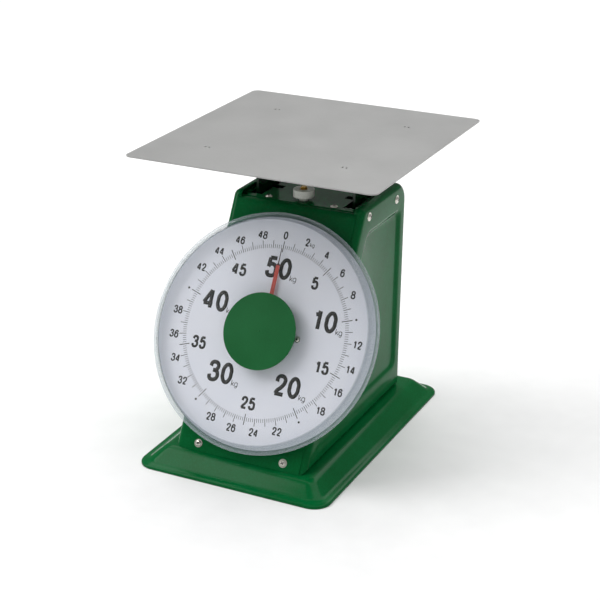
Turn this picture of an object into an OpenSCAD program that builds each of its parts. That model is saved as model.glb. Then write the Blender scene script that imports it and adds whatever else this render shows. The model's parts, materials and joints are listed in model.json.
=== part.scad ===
// Upright spring scale: a leaning round dial in a green pressed-steel case,
// with a flat platform on two uprights that pass through the top of the case.
// X runs to the right of a person facing the dial, the dial faces -Y, Z is up.
// The origin is at the middle of the bounding box, on the floor.

/* [Platform] */
// Width of the platform sheet, left to right
platform_w = 330; // [280:1:400]
// Depth of the platform sheet, front to back
platform_d = 350; // [300:1:420]
// Thickness of the platform sheet
platform_t = 1.5; // [1:0.1:3]
// Corner radius of the platform sheet
platform_r = 9; // [4:1:20]
// Clear height between the top plate and the underside of the platform
platform_gap = 77.5; // [70:0.5:110]
// How far the platform's centre lies behind the base's centre
platform_back = 30; // [0:1:60]
// Distance from the platform's centre line to a pressed tab, along X
tab_x = 92; // [70:1:110]
// Distance from the platform's centre line to a pressed tab, along Y
tab_y = 97; // [80:1:120]

/* [Base] */
// Width of the base pan over its lip
base_w = 262; // [240:1:320]
// Depth of the base pan over its lip
base_d = 389; // [370:1:470]
// Height of the base pan's flat top
base_h = 23; // [18:1:30]
// Corner radius of the lip, seen from above
base_r = 23; // [16:1:32]
// Width of the lip and slope, from the rim to the flat top
base_slope = 31; // [28:1:36]
// Sheet thickness of the base pan
base_t = 1.2; // [0.8:0.1:2]

/* [Case] */
// Width over the two side panels
case_w = 182; // [168:1:200]
// Height of the top plate above the base's flat top
case_h = 288; // [260:1:350]
// Angle by which the front leans back from the vertical
lean = 28.7; // [24:0.1:31]
// Distance from the rim of the base to the foot of the front panel
front_inset = 32.5; // [31:0.5:45]
// Distance from the rim of the base to the back of the case
back_inset = 54.5; // [45:0.5:65]
// Sheet thickness of the case panels
sheet_t = 1; // [0.8:0.1:1.5]
// Radius of the folds along the edges of the side panels
fold_r = 8.6; // [6:0.1:10]
// Width of the flanges that the panels are screwed to
flange_w = 21; // [19:0.5:24]
// Height of the side panels above the top plate
side_rise = 6; // [4:0.5:8]
// Radius of the side panels' upper back corner
back_corner_r = 26; // [18:1:32]
// Depth of the sunk field in each side panel
field_depth = 4; // [2:0.5:5]

/* [Dial] */
// Distance along the leaning front from its foot to the dial's axis
dial_up = 162; // [156:1:175]
// Outside radius of the clear cover's flange
cover_r = 152.5; // [140:0.5:160]
// Radius of the cover's flat front face
window_r = 141; // [130:0.5:146]
// Wall thickness of the clear cover
cover_t = 2; // [1.5:0.1:3]
// Radius of the centre disc on the cover
disc_r = 48.5; // [40:0.5:56]
// Distance of the dial plate's face in front of the front panel
dial_out = 9.7; // [9:0.1:14]
// Distance of the cover's front face in front of the front panel
window_out = 24; // [22:0.5:30]
// Length of the pointer from the dial's axis to its tip
pointer_l = 112; // [100:1:120]
// Distance from the dial's axis to each dial screw
dial_screw_r = 46; // [40:0.5:60]

/* [Movement] */
// Travel of the platform from no load to full load
travel = 25; // [18:0.5:27]
// Number of teeth on the pinion, which turns once in the full travel
pinion_teeth = 12; // [10:1:16]
// Length of the parallel links between their pivots
link_l = 84; // [80:0.5:92]
// Radius of the link shafts
shaft_r = 4; // [3:0.5:5]
// Radial clearance of parts that turn or slide on each other
fit = 0.05; // [0.02:0.01:0.08]
// Thickness of the chassis plates, uprights and link arms
plate_t = 3; // [2.5:0.5:4]
// Gap between plates that move past each other
plate_gap = 1; // [0.6:0.1:1.5]

/* [Springs and zero screw] */
// Mean radius of the spring coils
coil_r = 10; // [9:0.5:12]
// Radius of the spring wire
wire_r = 1.9; // [1.5:0.1:2.2]
// Distance from the centre to each spring, along X
spring_x = 38; // [34:1:44]
// Outside radius of the zero knob
knob_r = 13.5; // [11:0.5:16]
// Height of the zero knob
knob_h = 9.5; // [7:0.5:12]
// Radius of the zero screw
zero_r = 4; // [3:0.5:5]
// Travel of the yoke each way for one turn of the zero knob
zero_pitch = 1.25; // [0.8:0.05:1.5]

/* [Hidden] */

$fn = 48;
eps = 0.01;

// Colours
green = "#1f6b3a";
steel = "#b9bcbe";
zinc = "#8f949a";
brass = "#b08d4a";

// Places of the base, the case and the platform along Y
base_cy = (base_d / 2 - max(base_d / 2, platform_back + platform_d / 2)) / 2;
base_front = base_cy - base_d / 2;
base_back = base_cy + base_d / 2;
case_front = base_front + front_inset;
case_back = base_back - back_inset;
platform_cy = base_cy + platform_back;

// Heights
top_z = base_h + case_h;
side_z = top_z + side_rise;
platform_z = top_z + platform_gap;
bridge_z = top_z - 5;
bridge_t = 4;
yoke_z = bridge_z - 38;
yoke_h = 10;
bar_z = base_h + 95;
floor_z = base_h + plate_t;

// Half widths, from the case inwards
half_w = case_w / 2;
panel_x = half_w - fold_r;
chassis_x = half_w - 14 - plate_t;
link_x = chassis_x - plate_gap - plate_t;
upright_x = link_x - plate_gap - plate_t;

// Uprights and the parts between them, along Y
spring_y = 12;
upright_y = spring_y + 4;
upright_d = 60;

// Links: level at half travel, one end on a shaft, the other on a pin in the upright
shaft_y = 112;
upper_shaft_z = top_z - 71;
lower_shaft_z = base_h + 67;
pin_reach = link_l - 0.47;
link_angle = atan(travel / 2 / pin_reach);
link_pin_r = 3;
link_far = (pin_reach + norm([pin_reach, travel / 2])) / 2;
link_slot = norm([pin_reach, travel / 2]) - pin_reach;
slot_clear = 0.15;

// Rack and pinion
pitch_r = travel * cos(lean) / (2 * PI);
tooth_pitch = 2 * PI * pitch_r / pinion_teeth;
tooth_add = 0.27 * tooth_pitch;
tooth_ded = 0.4 * tooth_pitch;
foot_x = pitch_r + tooth_ded + 1;
rack_s = 28;
rack_d = 6;
rack_w = 5;
rack_drop = 34;
rack_top = 45;
foot_t = 3;
driver_r = 1.5;
driver_s = rack_s + 3;
driver_slide = travel * sin(lean);

// Layers of the movement, measured back from the front panel's outer face
strap_s = 17.5;
strap_t = 2.5;
rear_s = 42;
rear_t = 2;
strap_half = 20;
arbor_r = 2;
arbor_back_r = 1.5;

// Neck of the zero knob
knob_z = top_z + side_rise - 1;
knob_neck_r = 5.5;

// Damper and stops
damper_y = 20;
damper_r = 17;
damper_h = travel + 19;
plug_nut_r = 5.5;

// Side panel outline, and the line of the leaning front at height z and depth s behind it
function face_y(z, s = 0) = case_front + (z - base_h) * tan(lean) + s / cos(lean);

// A closed outline set in by e, with each corner rounded to its own radius
function rounded(pts, radii, e = 0, steps = 8) = [
    for (i = [0:len(pts) - 1])
        let (
            a = pts[(i + len(pts) - 1) % len(pts)],
            b = pts[(i + 1) % len(pts)],
            u = (a - pts[i]) / norm(a - pts[i]),
            v = (b - pts[i]) / norm(b - pts[i]),
            half = acos(u * v) / 2,
            inward = (u + v) / norm(u + v) / sin(half),
            p = pts[i] + inward * e,
            r = max(radii[i] - e, 0.6),
            centre = p + inward * r,
            start = p + u * r / tan(half) - centre,
            end = p + v * r / tan(half) - centre,
            a0 = atan2(start[1], start[0]),
            turn = (atan2(end[1], end[0]) - a0 + 540) % 360 - 180
        )
        each [for (k = [0:steps]) centre + r * [cos(a0 + turn * k / steps), sin(a0 + turn * k / steps)]]
];

// Rounded rectangle at height z, set in by e from the rim of the base
function base_ring(e, r, z, steps = 7) = [
    for (q = [0:3])
        for (k = [0:steps])
            let (
                a = 90 * (q - 1) - 90 + 90 * k / steps,
                sx = (q == 1 || q == 2) ? 1 : -1,
                sy = (q >= 2) ? 1 : -1
            )
            [
                sx * (base_w / 2 - e - r) + r * cos(a),
                base_cy + sy * (base_d / 2 - e - r) + r * sin(a),
                z
            ]
];

// A solid through a stack of rings that have the same number of points
module loft(rings) {
    n = len(rings[0]);
    last = len(rings) - 1;
    polyhedron(
        points = [for (ring = rings) each ring],
        faces = [
            [for (j = [0:n - 1]) j],
            [for (j = [n - 1:-1:0]) last * n + j],
            for (i = [0:last - 1])
                for (j = [0:n - 1])
                    [i * n + j, (i + 1) * n + j, (i + 1) * n + (j + 1) % n, i * n + (j + 1) % n]
        ],
        convexity = 6
    );
}

// Children drawn on the leaning front: X as before, Y into the case, Z up along the slope
module leaning() {
    translate([0, case_front, base_h]) rotate([-lean, 0, 0]) children();
}

// Children drawn on the dial: X to the right, Y up along the slope, Z out towards the reader
module on_dial() {
    leaning() translate([0, 0, dial_up]) rotate([90, 0, 0]) children();
}

// Children copied to the left and right
module both_sides() {
    children();
    mirror([1, 0, 0]) children();
}

// A profile in Y and Z, drawn out along X from x0 to x1
module along_x(x0, x1) {
    translate([x0, 0, 0]) rotate([90, 0, 90]) linear_extrude(x1 - x0) children();
}

module tube(r_out, r_in, h) {
    difference() {
        cylinder(r = r_out, h = h);
        translate([0, 0, -1]) cylinder(r = r_in, h = h + 2);
    }
}

// Cross-recessed pan head on a washer face, head towards +Z, shank towards -Z
module screw(head_r, shank_r, length) {
    difference() {
        union() {
            cylinder(r = head_r, h = 0.8);
            cylinder(r = head_r * 0.8, h = 2.6);
            translate([0, 0, -length]) cylinder(r = shank_r, h = length + 0.5);
        }
        for (a = [0, 90])
            rotate(a) translate([-head_r * 0.45, -0.45, 1.6]) cube([head_r * 0.9, 0.9, 2]);
    }
}

// ---- Base ----------------------------------------------------------------------------------

// Outside of the pressed tray: rounded lip, hollow toe, slope and rounded shoulder.
// Each step is [distance in from the rim, height, corner radius].
function base_steps(t) = [
    [t, -1, base_r - t],
    [t, 2.5 - t, base_r - t],
    [1 + t, 4.1 - t, base_r - 1 - t],
    [3 + t, 5 - t, base_r - 3],
    [8 + t, 5.6 - t, base_r - 6],
    [11 + t, 7 - t, base_r - 8],
    [base_slope - 9 + t, base_h - 5.6 - t, base_r - 12],
    [base_slope - 6 + t, base_h - 2.9 - t, base_r - 13],
    [base_slope - 3 + t, base_h - 1 - t, base_r - 14],
    [base_slope + 1 + t, base_h - t, base_r - 15]
];

module base_body(t) {
    loft([for (s = base_steps(t)) base_ring(s[0], s[2], s[1])]);
}

screw_spots = [
    for (x = [-1, 1]) for (y = [-45, 105]) [x * (chassis_x - 19), y]
];

module base_pan() {
    color(green) difference() {
        base_body(0);
        base_body(base_t);
        translate([-base_w, base_front - 10, -5]) cube([2 * base_w, base_d + 20, 5]);
        for (p = screw_spots)
            translate([p[0], p[1], base_h - 10]) cylinder(r = 2.5 + fit, h = 20);
    }
}

module base_screws() {
    color(zinc) for (p = screw_spots)
        translate([p[0], p[1], base_h - base_t]) mirror([0, 0, 1])
            screw(4.6, 2.5, base_t + plate_t);
}

// ---- Case panels ---------------------------------------------------------------------------

// Outline of a side panel in Y and Z, lying one sheet behind the front panel's face
function side_outline(e) = rounded(
    [
        [face_y(base_h, sheet_t), base_h],
        [case_back, base_h],
        [case_back, side_z],
        [face_y(side_z, sheet_t), side_z]
    ],
    [3, 3, back_corner_r, 9], e
);

// Outline of the sunk field: front and top run with the panel's edges
function field_outline(e) = rounded(
    [
        [face_y(base_h + 34, 30), base_h + 34],
        [case_back - 19, base_h + 34],
        [case_back - 19, top_z - 28],
        [face_y(top_z - 28, 24), top_z - 28]
    ],
    [14, 14, 9, 12], e
);

// An outline in Y and Z placed at x
function at_x(x, outline) = [for (p = outline) [x, p[0], p[1]]];

// The panel's body, set in by t, with its edges rounded over towards the outer face
module side_body(t) {
    r = fold_r - t;
    loft([
        at_x(half_w - flange_w - t, side_outline(t)),
        for (a = [0:15:90]) at_x(panel_x + r * sin(a), side_outline(t + r * (1 - cos(a))))
    ]);
}

// The sunk field with its sloping sides, t outside the panel's face on every side
module field_body(t) {
    loft([
        at_x(half_w - field_depth - t, field_outline(5 - t)),
        at_x(half_w - t + eps, field_outline(-t))
    ]);
}

module side_panel() {
    difference() {
        side_body(0);
        difference() {
            side_body(sheet_t);
            field_body(sheet_t);
        }
        field_body(0);
        // The lips along the top and the foot are narrower than the flanges
        translate([0, face_y(base_h, 8), base_h - 1])
            cube([panel_x - 4.4, case_back - 4 - face_y(base_h, 8), 2.5]);
        translate([0, -200, side_z - 40]) cube([panel_x - 4.4, 500, 60]);
        // Notch that the front panel's rolled top edge passes through
        translate([0, face_y(top_z) - 12, top_z - 9])
            cube([panel_x + 0.2, 34, 9.2 - sheet_t]);
        for (p = side_screw_spots)
            translate([half_w - 5, p[0], p[1]]) rotate([0, 90, 0])
                cylinder(r = 2 + fit, h = 10);
        for (z = rear_screw_z)
            translate([rear_screw_x, case_back + 5, z]) rotate([90, 0, 0])
                cylinder(r = 2 + fit, h = 12);
    }
}

// Screws through each side panel into the chassis ears, as [Y, Z]
side_screw_spots = [[spring_y - 1, top_z - 8], [case_back - 34, top_z - 12]];
rear_screw_x = half_w - 15;
rear_screw_z = [base_h + 22, top_z - 50];

module side_panel_right() {
    color(green) side_panel();
}

module side_panel_left() {
    color(green) mirror([1, 0, 0]) side_panel();
}

// Folded sheet: leaning front and a short flange under the top plate
function front_outline(e) = rounded(
    [
        [face_y(base_h - 5), base_h - 5],
        [face_y(base_h) + 300, base_h - 5],
        [face_y(base_h) + 300, top_z - sheet_t],
        [face_y(top_z - sheet_t), top_z - sheet_t]
    ],
    [0, 0, 0, 10], e
);

module front_profile() {
    intersection() {
        difference() {
            polygon(front_outline(0));
            polygon(front_outline(sheet_t));
        }
        polygon([
            [face_y(base_h) - 5, base_h + 0.2],
            [face_y(base_h) + 3, base_h + 0.2],
            [face_y(top_z) + 20, top_z - 12],
            [face_y(top_z) + 20, top_z + 5],
            [face_y(base_h) - 5, top_z + 5]
        ]);
    }
}

front_screw_x = 59;
front_screw_up = 10;
top_screw_x = 45.5;
top_screw_y = face_y(top_z) + 14;

module front_panel() {
    color(green) difference() {
        along_x(-panel_x, panel_x) front_profile();
        on_dial() {
            translate([0, 0, -5]) cylinder(r = 9, h = 10);
            for (x = [-1, 1])
                translate([x * dial_screw_r, 0, -5]) cylinder(r = 2 + fit, h = 10);
        }
        for (x = [-1, 1]) {
            leaning() translate([x * front_screw_x, -5, front_screw_up]) rotate([-90, 0, 0])
                cylinder(r = 2.5 + fit, h = 10);
            translate([x * top_screw_x, top_screw_y, top_z - 5]) cylinder(r = 2 + fit, h = 10);
        }
        translate([0, spring_y, top_z - 5]) cylinder(r = knob_neck_r + 1, h = 10);
    }
}

// Angle that ties the foot of the front panel to the base
module front_bracket() {
    half = half_w - flange_w - 2;
    leg_z = base_h + 17;
    color(zinc) difference() {
        along_x(-half, half) polygon([
            [face_y(base_h, sheet_t), base_h], [face_y(base_h, sheet_t) + 24, base_h],
            [face_y(base_h, sheet_t) + 24, base_h + 2],
            [face_y(base_h + 2, sheet_t + 2), base_h + 2],
            [face_y(leg_z, sheet_t + 2), leg_z], [face_y(leg_z, sheet_t), leg_z]
        ]);
        for (x = [-1, 1])
            leaning() translate([x * front_screw_x, -5, front_screw_up]) rotate([-90, 0, 0])
                cylinder(r = 2.5 + fit, h = 10);
    }
}

module front_screws() {
    color(steel) for (x = [-1, 1])
        leaning() translate([x * front_screw_x, 0, front_screw_up]) rotate([90, 0, 0])
            screw(5.4, 2.5, sheet_t + 2);
}

module top_screws() {
    color(steel) for (x = [-1, 1])
        translate([x * top_screw_x, top_screw_y, top_z]) screw(3.6, 2, 4);
}

module side_screws() {
    color(steel) both_sides() for (p = side_screw_spots)
        translate([half_w, p[0], p[1]]) rotate([0, 90, 0]) screw(4.4, 2, 5);
}

module rear_screws() {
    color(steel) for (x = [-1, 1]) for (z = rear_screw_z)
        translate([x * rear_screw_x, case_back + sheet_t, z]) rotate([-90, 0, 0])
            screw(4.4, 2, 2 * sheet_t);
}

rear_top = side_z - back_corner_r;

module rear_panel() {
    color(green) difference() {
        translate([-panel_x, case_back, base_h + 0.2])
            cube([2 * panel_x, sheet_t, rear_top - base_h]);
        for (x = [-1, 1]) for (z = rear_screw_z)
            translate([x * rear_screw_x, case_back + 5, z]) rotate([90, 0, 0])
                cylinder(r = 2 + fit, h = 12);
    }
}

top_front = face_y(top_z) + 7;
opening_front = spring_y - 6;
opening_d = upright_y + upright_d + 6 - opening_front;

// Flat sheet with a rounded skirt that goes down inside the rear panel
module top_plate() {
    corners = [[top_front, base_h], [case_back, base_h], [case_back, top_z], [top_front, top_z]];
    radii = [1, 1, back_corner_r - side_rise, 1];
    color(green) difference() {
        union() {
            translate([-half_w + 2 * sheet_t, top_front, top_z - sheet_t])
                cube([case_w - 4 * sheet_t, case_back - back_corner_r + 4 - top_front, sheet_t]);
            along_x(-panel_x + 5, panel_x - 5) intersection() {
                difference() {
                    polygon(rounded(corners, radii));
                    polygon(rounded(corners, radii, sheet_t));
                }
                translate([case_back - back_corner_r - 10, rear_top - 12])
                    square([back_corner_r + 20, back_corner_r + 20]);
            }
        }
        both_sides() {
            translate([upright_x - 9, opening_front, top_z - 5])
                cube([plate_t + 15, opening_d, 10]);
            translate([upright_x - 22, upright_y + 24, top_z - 5]) cube([14, 12, 10]);
        }
        translate([0, spring_y, top_z - 5]) cylinder(r = knob_neck_r + 1, h = 10);
        for (x = [-1, 1])
            translate([x * top_screw_x, top_screw_y, top_z - 5]) cylinder(r = 2 + fit, h = 10);
    }
}

// ---- Chassis -------------------------------------------------------------------------------

chassis_s = strap_s + strap_t;
chassis_low = base_h + 40;

module shaft_holes(r) {
    for (z = [upper_shaft_z, lower_shaft_z])
        translate([-half_w, shaft_y, z]) rotate([0, 90, 0]) cylinder(r = r, h = case_w);
}

// Side plate with two ears that the side panel is screwed to
module chassis_plate() {
    difference() {
        union() {
            along_x(chassis_x, chassis_x + plate_t) polygon([
                [face_y(chassis_low, chassis_s) + 30, base_h],
                [shaft_y + 14, base_h],
                [shaft_y + 14, upper_shaft_z + 12],
                [spring_y + 24, bridge_z - bridge_t - 14],
                [spring_y + 2, bridge_z - bridge_t],
                [face_y(bridge_z - bridge_t, chassis_s), bridge_z - bridge_t],
                [face_y(chassis_low, chassis_s), chassis_low]
            ]);
            translate([chassis_x, shaft_y - 24, upper_shaft_z - 10])
                cube([plate_t, 16, side_screw_spots[1][1] - upper_shaft_z + 18]);
            for (p = side_screw_spots) {
                translate([chassis_x, p[0] - 8, p[1] - 10])
                    cube([half_w - sheet_t - chassis_x, 16, 2]);
                translate([half_w - sheet_t - 2, p[0] - 8, p[1] - 10]) cube([2, 16, 15]);
            }
        }
        shaft_holes(shaft_r);
        for (p = side_screw_spots)
            translate([half_w - 10, p[0], p[1]]) rotate([0, 90, 0]) cylinder(r = 2, h = 20);
    }
}

module chassis_plate_right() {
    color(zinc) chassis_plate();
}

module chassis_plate_left() {
    color(zinc) mirror([1, 0, 0]) chassis_plate();
}

module chassis_floor() {
    color(zinc) difference() {
        translate([-chassis_x, -60, base_h]) cube([2 * chassis_x, shaft_y + 74, plate_t]);
        for (p = screw_spots)
            translate([p[0], p[1], base_h - 10]) cylinder(r = 2.5, h = 20);
    }
}

// Cross member that carries the whole load from the zero screw
module bridge() {
    color(zinc) difference() {
        union() {
            translate([-chassis_x - plate_t, spring_y - 10, bridge_z - bridge_t])
                cube([2 * (chassis_x + plate_t), 12, bridge_t]);
            translate([-upright_x + 4, spring_y - 10, bridge_z - bridge_t])
                cube([2 * upright_x - 8, 20, bridge_t]);
            translate([-upright_x + 4, spring_y - 10, bridge_z - bridge_t - 10])
                cube([2 * upright_x - 8, 2, 12]);
        }
        translate([0, spring_y, bridge_z - 20]) cylinder(r = zero_r + fit, h = 40);
        for (x = [-18, 18])
            translate([x, spring_y, bridge_z - 20]) cylinder(r = 2.5, h = 40);
    }
}

module guide_pins() {
    color(steel) for (x = [-18, 18])
        translate([x, spring_y, yoke_z - 8]) cylinder(r = 2.5, h = bridge_z - yoke_z + 8);
}

// ---- Dial ----------------------------------------------------------------------------------

dial_edge = cover_r - 6;
dial_t = 0.8;

// Steel pan behind the dial plate
module dial_housing() {
    r = dial_edge - 8.5;
    w = dial_out - dial_t;
    color(green) on_dial() difference() {
        rotate_extrude($fn = 96) polygon([
            [0, 0], [r, 0], [r, w - 0.9], [dial_edge + 0.5, w - 0.9],
            [dial_edge + 0.5, w], [r - 0.9, w], [r - 0.9, 0.9], [0, 0.9]
        ]);
        translate([0, 0, -1]) cylinder(r = 9, h = 5);
        for (x = [-1, 1])
            translate([x * dial_screw_r, 0, -1]) cylinder(r = 2 + fit, h = 5);
    }
}

module dial_spacers() {
    color(zinc) on_dial() for (x = [-1, 1])
        translate([x * dial_screw_r, 0, 0.9]) tube(5, 2 + fit, dial_out - dial_t - 0.9);
}

module dial_plate() {
    color("#e9edf2") on_dial() difference() {
        translate([0, 0, dial_out - dial_t]) cylinder(r = dial_edge, h = dial_t, $fn = 96);
        translate([0, 0, dial_out - 5]) cylinder(r = 5, h = 10);
        for (x = [-1, 1])
            translate([x * dial_screw_r, 0, dial_out - 5]) cylinder(r = 2 + fit, h = 10);
    }
}

module dial_screws() {
    color(steel) on_dial() for (x = [-1, 1])
        translate([x * dial_screw_r, 0, dial_out]) screw(4, 2, dial_out + 5);
}

// Clear dish: flange with a skirt that clips over the housing, sloping wall and flat front
module clear_cover() {
    rim = dial_out + 1;
    wall = [cover_r - 4, rim + cover_t];
    shoulder = [window_r + 4.5, window_out - 5];
    outside = [
        [cover_r, rim], [cover_r, rim + cover_t], wall, shoulder,
        [window_r + 3.4, window_out - 1.9], [window_r, window_out], [0, window_out]
    ];
    inside = [
        [0, window_out - cover_t], [window_r - 0.6, window_out - cover_t],
        [window_r + 1.6, window_out - 3.1], [window_r + 2.5, window_out - 5.6],
        [dial_edge - 0.3, rim + cover_t], [dial_edge - 0.3, rim - 0.7],
        [dial_edge + 1, rim - 0.7], [dial_edge + 1, rim - 4.5], [dial_edge + 3, rim - 4.5],
        [dial_edge + 3, rim]
    ];
    color("#d8e4ea", 0.4) on_dial()
        rotate_extrude($fn = 96) polygon(concat(outside, inside));
}

module centre_disc() {
    color("#28693e") on_dial() translate([0, 0, window_out]) cylinder(r = disc_r, h = 1.6, $fn = 96);
}

// ---- Movement ------------------------------------------------------------------------------

module movement_strap() {
    color(zinc) difference() {
        leaning() union() {
            translate([-chassis_x - plate_t, strap_s, dial_up - strap_half])
                cube([2 * (chassis_x + plate_t), strap_t, 2 * strap_half]);
            both_sides() translate([chassis_x + plate_t, strap_s, dial_up - strap_half])
                cube([2, 18, 2 * strap_half]);
        }
        on_dial() translate([0, 0, -strap_s - strap_t - 1]) cylinder(r = 5, h = strap_t + 2);
        movement_holes(strap_s, strap_t);
    }
}

pillar_spots = [[-17, -9], [-17, 15], [19, -9], [19, 15]];

module movement_holes(s, t) {
    on_dial() for (p = pillar_spots)
        translate([p[0], p[1], -s - t - 1]) cylinder(r = 2, h = t + 2);
}

module movement_plate() {
    color(brass) difference() {
        leaning() translate([-23, rear_s, dial_up - 14]) cube([48, rear_t, 34]);
        on_dial() translate([0, 0, -rear_s - rear_t - 1]) cylinder(r = 4, h = rear_t + 2);
        movement_holes(rear_s, rear_t);
    }
}

module movement_pillars() {
    color(brass) on_dial() for (p = pillar_spots) translate([p[0], p[1], 0]) {
        translate([0, 0, -rear_s]) cylinder(r = 3, h = rear_s - chassis_s);
        translate([0, 0, -rear_s - rear_t - 1.5])
            cylinder(r = 2, h = rear_s + rear_t + 3 - strap_s);
    }
}

module front_bush() {
    color(brass) on_dial() difference() {
        union() {
            translate([0, 0, -strap_s - strap_t - 1.5]) cylinder(r = 5, h = strap_t + 1.5);
            translate([0, 0, -strap_s]) cylinder(r = 7, h = 1.5);
        }
        translate([0, 0, -strap_s - 10]) cylinder(r = arbor_r + fit, h = 20);
    }
}

module rear_bush() {
    color(brass) on_dial() difference() {
        union() {
            translate([0, 0, -rear_s - rear_t]) cylinder(r = 4, h = rear_t + 1.5);
            translate([0, 0, -rear_s - rear_t - 1.5]) cylinder(r = 6, h = 1.5);
        }
        translate([0, 0, -rear_s - 10]) cylinder(r = arbor_back_r + fit, h = 20);
    }
}

// Blocks between the movement plates with a window that the rack slides in
module rack_guides() {
    tip_x = pitch_r - tooth_add;
    back_x = pitch_r + tooth_ded + rack_w;
    color(zinc) leaning() for (u = [-13.5, 10.5]) difference() {
        translate([tip_x - 3, chassis_s, dial_up + u]) cube([back_x - tip_x + 6, rear_s - chassis_s, 5]);
        translate([tip_x - 0.3, rack_s - 2 * fit, dial_up + u - 1])
            cube([back_x - tip_x + 0.3 + 2 * fit, rack_d + 4 * fit, 7]);
    }
}

// Toothed bar that slides along the slope, with a slotted foot for the driver pin
module rack() {
    root_x = pitch_r + tooth_ded;
    color(steel) leaning() difference() {
        union() {
            translate([root_x, rack_s, dial_up - rack_drop + 4])
                cube([rack_w, rack_d, rack_drop + rack_top - 4]);
            for (k = [-3:pinion_teeth + 2])
                translate([0, rack_s, dial_up + (k + 0.5) * tooth_pitch]) rotate([-90, 0, 0])
                    linear_extrude(rack_d) rack_tooth();
            translate([foot_x, rack_s - 2, dial_up - rack_drop - 5])
                cube([foot_t, driver_slide + 10, 10]);
        }
        for (s = [0, driver_slide])
            translate([foot_x - 1, driver_s + s, dial_up - rack_drop]) rotate([0, 90, 0])
                cylinder(r = driver_r + fit, h = foot_t + 2);
        translate([foot_x - 1, driver_s, dial_up - rack_drop - driver_r - fit])
            cube([foot_t + 2, driver_slide, 2 * (driver_r + fit)]);
    }
}

// Rack tooth that points towards the pinion, with its middle on Y = 0
module rack_tooth() {
    tip = 0.11 * tooth_pitch;
    root = 0.30 * tooth_pitch;
    polygon([
        [pitch_r + tooth_ded + 0.1, -root], [pitch_r - tooth_add, -tip],
        [pitch_r - tooth_add, tip], [pitch_r + tooth_ded + 0.1, root]
    ]);
}

module pinion() {
    r_out = pitch_r + tooth_add;
    r_root = pitch_r - tooth_ded;
    color(brass) on_dial() translate([0, 0, -rack_s - rack_d - 1]) difference() {
        linear_extrude(rack_d + 2) {
            circle(r = r_root);
            for (k = [0:pinion_teeth - 1]) rotate(360 * k / pinion_teeth)
                polygon([
                    [0.5 * r_root, -0.2 * tooth_pitch], [r_root, -0.2 * tooth_pitch],
                    [pitch_r, -0.17 * tooth_pitch], [r_out, -0.08 * tooth_pitch],
                    [r_out, 0.08 * tooth_pitch], [pitch_r, 0.17 * tooth_pitch],
                    [r_root, 0.2 * tooth_pitch], [0.5 * r_root, 0.2 * tooth_pitch]
                ]);
        }
        translate([0, 0, -1]) cylinder(r = arbor_back_r, h = rack_d + 4);
    }
}

pointer_w = dial_out + 3.4;

module pinion_shaft() {
    color(steel) on_dial() {
        translate([0, 0, -rack_s + 1]) cylinder(r = arbor_r, h = rack_s - 1 + pointer_w + 2.4);
        translate([0, 0, -rear_s - rear_t - 2.5])
            cylinder(r = arbor_back_r, h = rear_s + rear_t + 3.5 - rack_s);
    }
}

module pointer_hub() {
    color("#3b3b3b") on_dial() translate([0, 0, pointer_w - 1]) difference() {
        union() {
            cylinder(r = 8, h = 1);
            cylinder(r = 5.5, h = 3.4);
        }
        translate([0, 0, -1]) cylinder(r = arbor_r, h = 6);
    }
}

// Flat blade: wide from the hub outwards, then a thin tip; a short tail balances it
module pointer() {
    color("#c8605c") on_dial() translate([0, 0, pointer_w]) linear_extrude(0.6) difference() {
        union() {
            circle(r = 9);
            polygon([
                [-5, -30], [5, -30], [2.8, 0], [2.8, pointer_l - 42], [0.55, pointer_l - 38],
                [0.4, pointer_l], [-0.4, pointer_l], [-0.55, pointer_l - 38],
                [-2.8, pointer_l - 42], [-2.8, 0]
            ]);
        }
        circle(r = 5.5);
    }
}

// ---- Zero adjustment and springs -----------------------------------------------------------

module zero_knob() {
    color("#e9ece6") translate([0, spring_y, 0]) difference() {
        union() {
            translate([0, 0, knob_z]) cylinder(r = knob_r, h = knob_h);
            translate([0, 0, bridge_z + 3]) cylinder(r = knob_neck_r, h = knob_z - bridge_z);
        }
        translate([0, 0, knob_z - 30]) cylinder(r = zero_r, h = 60);
    }
}

module zero_screw() {
    color(brass) translate([0, spring_y, 0]) {
        translate([0, 0, yoke_z - 6]) cylinder(r = zero_r, h = knob_z + knob_h - yoke_z + 6);
        translate([0, 0, bridge_z + 0.2]) cylinder(r = 8, h = 2.8);
        translate([0, 0, knob_z + knob_h]) cylinder(r = 5, h = 1);
        translate([0, 0, knob_z + knob_h + 1]) cylinder(r = 3.6, h = 2.4);
    }
}

// Bar that hangs on the zero screw and carries both springs
module zero_yoke() {
    color(zinc) difference() {
        translate([-spring_x - 12, spring_y - 8, yoke_z]) cube([2 * spring_x + 24, 16, yoke_h]);
        translate([0, spring_y, yoke_z - 1]) cylinder(r = zero_r + fit, h = yoke_h + 2);
        for (x = [-18, 18])
            translate([x, spring_y, yoke_z - 1]) cylinder(r = 2.5 + fit, h = yoke_h + 2);
        for (x = [-1, 1])
            translate([x * spring_x, spring_y, yoke_z - 1]) cylinder(r = 3, h = yoke_h + 2);
    }
}

plug_r = coil_r - wire_r - 0.5;
plug_h = 14;

// Plug inside the last coils, held to its bar by a stud and nut on the far side
module plug(bar_t) {
    translate([0, 0, 6]) cylinder(r = plug_r, h = plug_h);
    cylinder(r = 6, h = 6);
    translate([0, 0, -bar_t - 5]) cylinder(r = 3, h = bar_t + 6);
    translate([0, 0, -bar_t - 4]) cylinder(r = plug_nut_r, h = 4, $fn = 6);
}

module lower_plugs() {
    color(zinc) for (x = [-1, 1])
        translate([x * spring_x, spring_y, bar_z + plate_t]) plug(plate_t);
}

module upper_plugs() {
    color(zinc) for (x = [-1, 1])
        translate([x * spring_x, spring_y, yoke_z]) mirror([0, 0, 1]) plug(yoke_h);
}

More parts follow.
